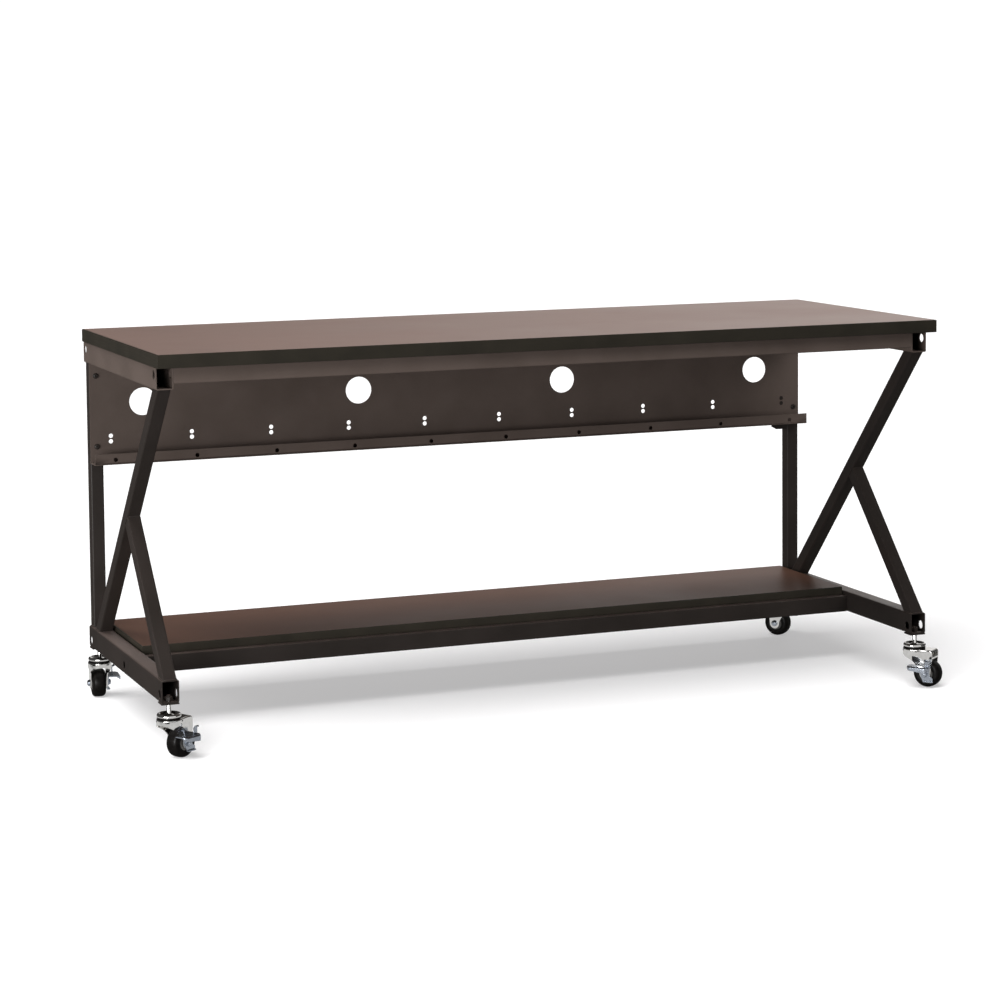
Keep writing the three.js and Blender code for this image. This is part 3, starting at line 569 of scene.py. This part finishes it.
def fork_sheet():
    """Outer skin of the pressed fork: walls, a rounded shoulder and a roof that turns down behind."""
    stations = [-FORK_ROUND * math.cos(math.pi / 2 * i / 28) for i in range(29)]
    stations += [2, 4, 6, 8, 10, 12, 14, 16, 17.5, 18.5, 19.5, 20.4]
    stations += [TRAIL - LEG_EYE * math.cos(math.pi * i / 16) for i in range(17)]
    stations += [47.8, 48.6, 49.4, 50.0, 50.5, 50.8, FORK_REAR]
    rows = []
    for x in stations:
        past = max(x - FORK_REAR + REAR_ROUND, 0)
        top = FORK_TOP - (REAR_ROUND - math.sqrt(max(REAR_ROUND ** 2 - past ** 2, 0)))
        side, low = fork_side(x), leg_bottom(x)
        inward = (-x / FORK_ROUND, -side / FORK_ROUND) if x < 0 else (0.0, -1.0)
        half = []
        for i in range(15):
            z = low + (top - SHOULDER - low) * i / 14
            narrow = ease((LEG_NARROW_TOP - z) / LEG_NARROW_DEPTH)
            half.append((x, side + (FORK_SIDE - side) * narrow, z))
        for i in range(1, 5):
            turn = math.pi / 2 * i / 4
            step = SHOULDER * (1 - math.cos(turn))
            rise = top - SHOULDER + SHOULDER * math.sin(turn)
            half.append((x + inward[0] * step, side + inward[1] * step, rise))
        last = half[-1]
        roof = [(last[0], last[1] * (1 - i / 4), last[2]) for i in range(1, 8)]
        rows.append(half + roof + [(a, -b, c) for a, b, c in reversed(half)])
    count = len(rows[0])
    verts = [p for row in rows for p in row]
    faces = [[r * count + c, r * count + c + 1, (r + 1) * count + c + 1, (r + 1) * count + c]
             for r in range(len(rows) - 1) for c in range(count - 1)]
    shape = bmesh.new()
    points = [shape.verts.new(v) for v in verts]
    for face in faces:
        shape.faces.new([points[i] for i in face])
    bmesh.ops.remove_doubles(shape, verts=shape.verts, dist=SEAM)
    bmesh.ops.dissolve_degenerate(shape, edges=shape.edges, dist=SLIVER)
    bmesh.ops.recalc_face_normals(shape, faces=shape.faces)
    roof = max(shape.faces, key=lambda f: f.calc_center_median().z)
    if roof.normal.z < 0:
        bmesh.ops.reverse_faces(shape, faces=shape.faces)
    shape.normal_update()
    inner = {v: shape.verts.new(v.co - v.normal * FORK_SHEET) for v in list(shape.verts)}
    for face in list(shape.faces):
        shape.faces.new([inner[v] for v in reversed(face.verts)])
    for edge in [e for e in shape.edges if len(e.link_faces) == 1 and e.verts[0] in inner]:
        a, b = edge.verts
        shape.faces.new((a, b, inner[b], inner[a]))
    shape.verts.index_update()
    result = ([v.co.copy() for v in shape.verts], [[v.index for v in f.verts] for f in shape.faces])
    shape.free()
    return result


def bar(shape, ends, width, height, corner, matrix):
    """A bar along Y with round edges, between two ends."""
    loop = []
    for cx, cz, start in ((1, 1, 0), (-1, 1, 90), (-1, -1, 180), (1, -1, 270)):
        for i in range(4):
            turn = math.radians(start + 30 * i)
            loop.append((cx * (width / 2 - corner) + corner * math.cos(turn),
                         cz * (height / 2 - corner) + corner * math.sin(turn)))
    shape.grid([[(x, y, z) for x, z in loop] for y in ends], matrix)


def fold(shape, path, thickness, stations):
    """A bent sheet: at each station along X, a path of (out, up) points thickened to one side."""
    rows = []
    for x, points in stations:
        line = path(points)
        back = []
        for i, (a, b) in enumerate(line):
            (pa, pb), (na, nb) = line[max(i - 1, 0)], line[min(i + 1, len(line) - 1)]
            length = math.hypot(na - pa, nb - pb)
            back.append((a - (nb - pb) / length * thickness, b + (na - pa) / length * thickness))
        rows.append([(x, -a, b) for a, b in line + back[::-1]])
    shape.grid(rows)


# Brake lever, in millimetres about the axle
LEVER_SHEET, LEVER_TOP, LEVER_FOOT, LEVER_BORE, LEVER_GAP = 2.2, 20.0, -18, 4.8, 0.3
PEDAL_FRONT, PEDAL_REAR, PEDAL_OUT, PEDAL_ROUND, PEDAL_BEND = -36, 16, 28, 9, 3.5
SKIRT_END, SKIRT_RUN_IN, SKIRT_FRONT, SKIRT_SLOPE = 2.6, 5, (-31, 9), 5 / 42
TONGUE_DROP = 2.0
LEVER_WEB = [(-24, 19), (-20, 13), (-13, 5.5), (-11, 1), (-10, -4), (-6.5, -12), (-5, -16.5), (-3.5, -18),
             (18.5, -18), (20, -16.5), (20, -9.5), (18.5, -8), (13, -5), (11, -1), (10.8, 4), (11.3, 12),
             (12, 19)]
LEVER_TONGUE = [(14, 18.5), (14, 24), (14, 30), (14.3, 32.2), (15.3, 34), (17, 35.3), (19, 35.9)]
TONGUE_STATIONS = [(5, 1), (5.4, 0.4), (6.5, 0), (10, 0), (13.5, 0), (14.6, 0.4), (15, 1)]
LEVER_TAIL = [(-3.5, 0), (-3.5, -5), (-1.5, -7), (18, -7), (20, -5), (20, 0)]


def pedal_path(size):
    """A pedal's section from the rim of its skirt, round the bend and in over the top."""
    out, drop = size
    bend = min(PEDAL_BEND, out * 0.6, drop * 0.6)
    line = [(-0.2, LEVER_TOP), (out * 0.3, LEVER_TOP), (out - bend, LEVER_TOP)]
    for i in range(1, 6):
        turn = math.pi / 2 * i / 5
        line.append((out - bend + bend * math.sin(turn), LEVER_TOP - bend + bend * math.cos(turn)))
    return (line + [(out, LEVER_TOP - drop)])[::-1]


def tongue_path(corner):
    """The tongue's upright line, its curled end lowered at the corners."""
    return [(a, b - (TONGUE_DROP * corner if i > 4 else 0)) for i, (a, b) in enumerate(LEVER_TONGUE)]


def lever_shape():
    """Brake lever about the axle, its inner face at y 0: web, pedal with a skirt, tongue and tail."""
    shape = Shape()
    shape.plate(LEVER_WEB, [circle(0, 0, LEVER_BORE, 24)], LEVER_SHEET, UPRIGHT)
    stations = []
    for i in range(33):
        x = PEDAL_FRONT + (PEDAL_REAR - PEDAL_FRONT) * i / 32
        gap = min(x - PEDAL_FRONT, PEDAL_REAR - x)
        short = max(PEDAL_ROUND - gap, 0)
        out = PEDAL_OUT - (PEDAL_ROUND - math.sqrt(max(PEDAL_ROUND ** 2 - short ** 2, 0)))
        skirt = SKIRT_FRONT[1] + SKIRT_SLOPE * (x - SKIRT_FRONT[0])
        stations.append((x, (out, SKIRT_END + (skirt - SKIRT_END) * ease(gap / SKIRT_RUN_IN))))
    fold(shape, pedal_path, LEVER_SHEET, stations)
    fold(shape, tongue_path, LEVER_SHEET, TONGUE_STATIONS)
    shape.plate(LEVER_TAIL, [], LEVER_SHEET, Matrix.Translation((0, 0, LEVER_FOOT)))
    return shape


def nut_shape(shape, radius, low, high, matrix=None):
    """A six-sided nut with its corners turned off at both ends."""
    rows = []
    for z, size in ((low, 0.9), (low + 0.7, 1.0), (high - 0.9, 1.0), (high, 0.88)):
        rows.append([(x * size, y * size, z) for x, y in circle(0, 0, radius, 6)])
    shape.grid(rows, matrix)


# Nuts as (radius, low, high), and half-sections (radius, height) of the turned parts
STEM_NUT, AXLE_NUT = (8.5, 126.1, 135.1), (6.9, 23.9, 28.0)
CAP = [(0, 91.8), (22.4, 91.8), (24.4, 92.2), (25.6, 93.2), (26, 94.4), (26, 95.6), (25.6, 97.2),
       (24.8, 98.7), (23.7, 99.6), (22.7, 99.95), (21.8, 99.8), (21.1, 99.2), (20.6, 98.2), (19.9, 97.2),
       (18.4, 96.8), (11, 96.8), (9.4, 97.1), (8.4, 97.9), (7.2, 98.3), (5.6, 98.6), (4.8, 99.6),
       (4.8, 126.0), (0, 126.0)]
# A black ring in the groove between the fork's top and the cap: painted shade for the dark of that groove.
GROOVE_SHADE_RING = [(0, 89.0), (25.2, 89.0), (25.4, 90.2), (25.2, 91.8), (0, 91.8)]
STEM_END = [(0, 135.1), (4.8, 135.1), (4.8, 137.2), (4.1, 138.1), (0, 138.1)]
AXLE_WASHER = [(0, 22.4), (7.3, 22.4), (7.5, 22.8), (7.5, 23.6), (7.1, 23.9), (0, 23.9)]
AXLE_END = [(0, 27.8), (3.6, 27.8), (3.6, 28.4), (3.0, 28.7), (0, 28.7)]
AXLE_HEAD = [(0, -25.9), (3.4, -25.8), (5.4, -25.1), (6.8, -23.8), (7.5, -21.6), (7.5, -19.9), (0, -19.9)]
AXLE_SHANK = [(0, -21), (4.5, -21), (4.5, 22.6), (0, 22.6)]
HUB_SIDE = [(4.8, 16.8), (7.6, 16.8), (8.0, 16.4), (8.0, 14.9), (8.8, 14.2), (12.2, 14.0), (12.8, 14.6),
            (13.2, 15.0), (15.6, 15.0), (16.3, 14.5), (16.7, 13.4)]
TYRE_SIDE = [(17.0, 14.0), (17.2, 14.9), (18.0, 15.4), (19.6, 15.5), (19.9, 15.2), (20.6, 15.2), (20.9, 15.5),
             (23.2, 15.5)]
TYRE_SHOULDER, TYRE_FLAT, TYRE_SIDE_HEIGHT, TYRE_DROP = 23.2, 6.9, 15.5, 0.35
TYRE_CROWN = [(0.2, 5.4), (0.06, 3.0), (0, 1.0)]
# The fork's slots are thin black patches just proud of its sides: painted shade in place of openings.
SLOT_CENTRES, SLOT_HALF, SLOT_TOP, SLOT_LOW, SLOT_DEPTH = (-21.5, 14.0), 2.6, 85.0, 82.4, 0.5
SLOT_PROUD = 0.06
BAR_HALF, BAR_WIDTH, BAR_HEIGHT, BAR_CORNER, BAR_PLACE = 18.6, 2.5, 7, 0.9, (49.7, 0, 70.9)


def make_caster(name, fork):
    axis = JOINTS["roll_" + name]["axis"]
    stem = JOINTS["swivel_" + name]["pos_m"]
    place = (Matrix.Translation((stem[0], stem[1], CASTER_ZERO * MM))
             @ Matrix.Rotation(math.atan2(-axis[0], axis[1]), 4, "Z") @ Matrix.Scale(MM, 4))

    def add(label, shape, slot, body, node=None, angle=32):
        made = piece(f"{label}_{name}", shape.verts, shape.faces, slot, body, place, angle)
        if node:
            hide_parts(f"{node}_{name}")

    turning, wheel = "fork_" + name, "wheel_" + name
    add("stem_and_cap", Shape().revolve(CAP, 64), "caster_chrome", "table", "caster_stem", 40)
    # Painted shade: the black ring in the groove under the cap.
    add("race_groove_shade", Shape().revolve(GROOVE_SHADE_RING, 64), "wheel_tread", "table")
    nut = Shape()
    nut_shape(nut, *STEM_NUT)
    nut.revolve(STEM_END, 24)
    add("stem_nut", nut, "frame_paint", "table")

    body = Shape().take(*fork)
    bar(body, (-BAR_HALF, BAR_HALF), BAR_WIDTH, BAR_HEIGHT, BAR_CORNER, Matrix.Translation(BAR_PLACE))
    add("fork_shell", body, "caster_chrome", turning, "caster_fork", 38)
    # Painted shade: black patches on both sides of the fork for the dark inside of its slots.
    slot_shade = Shape()
    for centre in SLOT_CENTRES:
        for sign in (-1, 1):
            rows = []
            for i in range(7):
                x = centre - SLOT_HALF + 2 * SLOT_HALF * i / 6
                y = sign * (fork_side(x) + SLOT_PROUD)
                inner = y - sign * SLOT_DEPTH
                rows.append([(x, y, SLOT_TOP), (x, y, SLOT_LOW), (x, inner, SLOT_LOW), (x, inner, SLOT_TOP)])
            slot_shade.grid(rows)
    add("fork_slot_shade", slot_shade, "wheel_tread", turning)

    hole = Matrix.Translation((TRAIL, 0, AXLE_Z)) @ UPRIGHT
    bolt = Shape()
    bolt.revolve(AXLE_WASHER, 40, hole)
    nut_shape(bolt, *AXLE_NUT, hole)
    bolt.revolve(AXLE_END, 24, hole)
    bolt.revolve(AXLE_HEAD, 40, hole)
    bolt.revolve(AXLE_SHANK, 24, hole)
    add("axle_bolt", bolt, "caster_zinc", turning, "caster_axle", 30)

    ring = HUB_SIDE + [(r, -h) for r, h in reversed(HUB_SIDE)] + HUB_SIDE[:1]
    add("wheel_hub", Shape().revolve(ring, 56, hole), "wheel_hub", wheel, "caster_hub")
    half = list(TYRE_SIDE)
    for i in range(1, 9):
        turn = math.pi / 2 * i / 9
        half.append((TYRE_SHOULDER + (WHEEL - TYRE_DROP - TYRE_SHOULDER) * math.sin(turn),
                     TYRE_FLAT + (TYRE_SIDE_HEIGHT - TYRE_FLAT) * math.cos(turn)))
    half += [(WHEEL - drop, height) for drop, height in TYRE_CROWN]
    ring = half + [(r, -h) for r, h in reversed(half)] + half[:1]
    add("tyre", Shape().revolve(ring, 96, hole), "wheel_tread", wheel, "caster_tyre", 40)

    lever = lever_shape()
    lever.verts = [Vector((v.x + TRAIL, v.y - FORK_SIDE - LEVER_GAP, v.z + AXLE_Z)) for v in lever.verts]
    add("brake_lever", lever, "caster_zinc", "brake_" + name, "caster_brake", 35)


make_camera()
make_board("worktop", "worktop_edge_band", "worktop_laminate")
make_board("shelf", "shelf_edge_band", "shelf_laminate")
make_back_sheet()
for side in ("left", "right"):
    make_welds(side)
    for height in ("low", "high"):
        make_panel_bolt(f"panel_bolt_{height}_{side}")
FORK = fork_sheet()
for label in CASTERS:
    make_caster(label, FORK)

# CAD nodes that stay in view take the same materials
SLOTS = {s["node"]: s["material_slot"] for s in frame["record"]["subparts"]}
for node, obj in frame["nodes"].items():
    obj.data.materials.clear()
    obj.data.materials.append(MATERIALS[SLOTS[node]])


# Stage: a pale floor and backdrop for the camera, dimmer for every other ray, and the lights
FLOOR_HALF = 40
FLOOR_SEEN, FLOOR_LIFT = (0.62, 0.618, 0.62, 1), 0.41
FLOOR_UNSEEN, FLOOR_MIRRORED = (0.14, 0.138, 0.136, 1), 0.06
WORLD_SEEN, WORLD_BASE, WORLD_REAR_RIGHT = 1.05, 0.06, 0.85


def make_floor():
    material = bpy.data.materials.new("floor")
    material.use_nodes = True
    nodes = Nodes(material.node_tree)
    matt = nodes.add("ShaderNodeBsdfDiffuse", {"Color": FLOOR_SEEN}).outputs[0]
    lift = nodes.add("ShaderNodeEmission", {"Color": (1, 0.99, 0.995, 1), "Strength": FLOOR_LIFT}).outputs[0]
    seen = nodes.add("ShaderNodeAddShader", {0: matt, 1: lift}).outputs[0]
    other = nodes.add("ShaderNodeBsdfDiffuse", {"Color": FLOOR_UNSEEN}).outputs[0]
    mirrored = nodes.add("ShaderNodeEmission",
                         {"Color": (1, 0.99, 0.98, 1), "Strength": FLOOR_MIRRORED}).outputs[0]
    light_path = nodes.add("ShaderNodeLightPath").outputs
    unseen = nodes.add("ShaderNodeMixShader",
                       {0: light_path["Is Glossy Ray"], 1: other, 2: mirrored}).outputs[0]
    both = nodes.add("ShaderNodeMixShader", {0: light_path["Is Camera Ray"], 1: unseen, 2: seen}).outputs[0]
    nodes.add("ShaderNodeOutputMaterial", {0: both})
    mesh = bpy.data.meshes.new("floor")
    corners = oblong(-FLOOR_HALF, FLOOR_HALF, -FLOOR_HALF, FLOOR_HALF)
    mesh.from_pydata([(x, y, 0) for x, y in corners], [], [(0, 1, 2, 3)])
    mesh.materials.append(material)
    floor = bpy.data.objects.new("floor", mesh)
    bpy.context.collection.objects.link(floor)
    return floor


def make_world():
    world = bpy.data.worlds.new("studio")
    world.use_nodes = True
    bpy.context.scene.world = world
    nodes = Nodes(world.node_tree)
    way = nodes.add("ShaderNodeTexCoord").outputs["Generated"]
    split = nodes.add("ShaderNodeSeparateXYZ", {0: way})
    right = nodes.span(split.outputs["X"], 0.22, 0.52, 0.0, WORLD_REAR_RIGHT)
    back = nodes.span(split.outputs["Y"], 0.3, 0.7, 0.0, 1.0)
    level = nodes.math("ADD", nodes.math("MULTIPLY", right, back), WORLD_BASE)
    light_path = nodes.add("ShaderNodeLightPath").outputs
    studio = nodes.add("ShaderNodeBackground", {"Color": (1.0, 0.985, 0.97, 1), "Strength": level}).outputs[0]
    white = nodes.add("ShaderNodeBackground",
                      {"Color": (1, 0.992, 0.994, 1), "Strength": WORLD_SEEN}).outputs[0]
    both = nodes.add("ShaderNodeMixShader", {0: light_path["Is Camera Ray"], 1: studio, 2: white}).outputs[0]
    nodes.add("ShaderNodeOutputWorld", {0: both})


def make_light(name, kind, place, aim, energy, mirrored, **settings):
    data = bpy.data.lights.new(name, kind)
    data.energy = energy
    for key, value in settings.items():
        setattr(data, key, value)
    light = bpy.data.objects.new(name, data)
    light.location = place
    light.rotation_mode = "QUATERNION"
    light.rotation_quaternion = (Vector(aim) - Vector(place)).to_track_quat("-Z", "Y")
    light.visible_camera = False
    light.visible_glossy = mirrored
    bpy.context.collection.objects.link(light)
    return light


def aim_light(light, objects, state):
    """The light reaches only these objects, or everything but them."""
    group = bpy.data.collections.new(light.name + "_group")
    for obj in objects:
        group.objects.link(obj)
    for member in group.collection_objects:
        member.light_linking.link_state = state
    light.light_linking.receiver_collection = group


def make_sun(name, place, energy, degrees):
    return make_light(name, "SUN", place, (0, 0, 0), energy, False, angle=math.radians(degrees))


def make_softbox(name, place, aim, energy, width, height, mirrored=True):
    return make_light(name, "AREA", place, aim, energy, mirrored,
                      shape="RECTANGLE", size=width, size_y=height)


FLOOR = make_floor()
make_world()
SHELF = bpy.data.objects["shelf_board"]
aim_light(make_sun("top_key", (-0.35, 0.45, 1.6), energy=2.65, degrees=45), [FLOOR], "EXCLUDE")
aim_light(make_sun("floor_key", (-0.7, -0.5, 1.6), energy=4.3, degrees=46), [FLOOR], "INCLUDE")
aim_light(make_sun("front_key", (0.4, -1.0, 0.62), energy=1.15, degrees=30), [FLOOR], "EXCLUDE")
aim_light(make_sun("back_key", (0.9, 0.8, 0.5), energy=1.6, degrees=40), [FLOOR, SHELF], "EXCLUDE")
make_softbox("front_left_softbox", (-3.0, -2.6, 0.7), aim=(0, 0, 0.5), energy=77, width=2.2, height=1.2)
make_softbox("left_softbox", (-2.2, 0.1, 0.37), aim=(0, 0, 0.3), energy=12, width=1.3, height=0.7,
             mirrored=False)

# White cards that only the plated metal mirrors
METAL = [obj for obj in PIECES
         if obj.data.materials[0] in (MATERIALS["caster_chrome"], MATERIALS["caster_zinc"])]
floor_card = make_softbox("floor_card", (0, 0, 0.0005), aim=(0, 0, 1), energy=7.5, width=2.6, height=1.6)
front_card = make_softbox("front_card", (0, -4.5, 1.6), aim=(0, 0, 1.6), energy=72, width=9, height=3)
for card in (floor_card, front_card):
    aim_light(card, METAL, "INCLUDE")
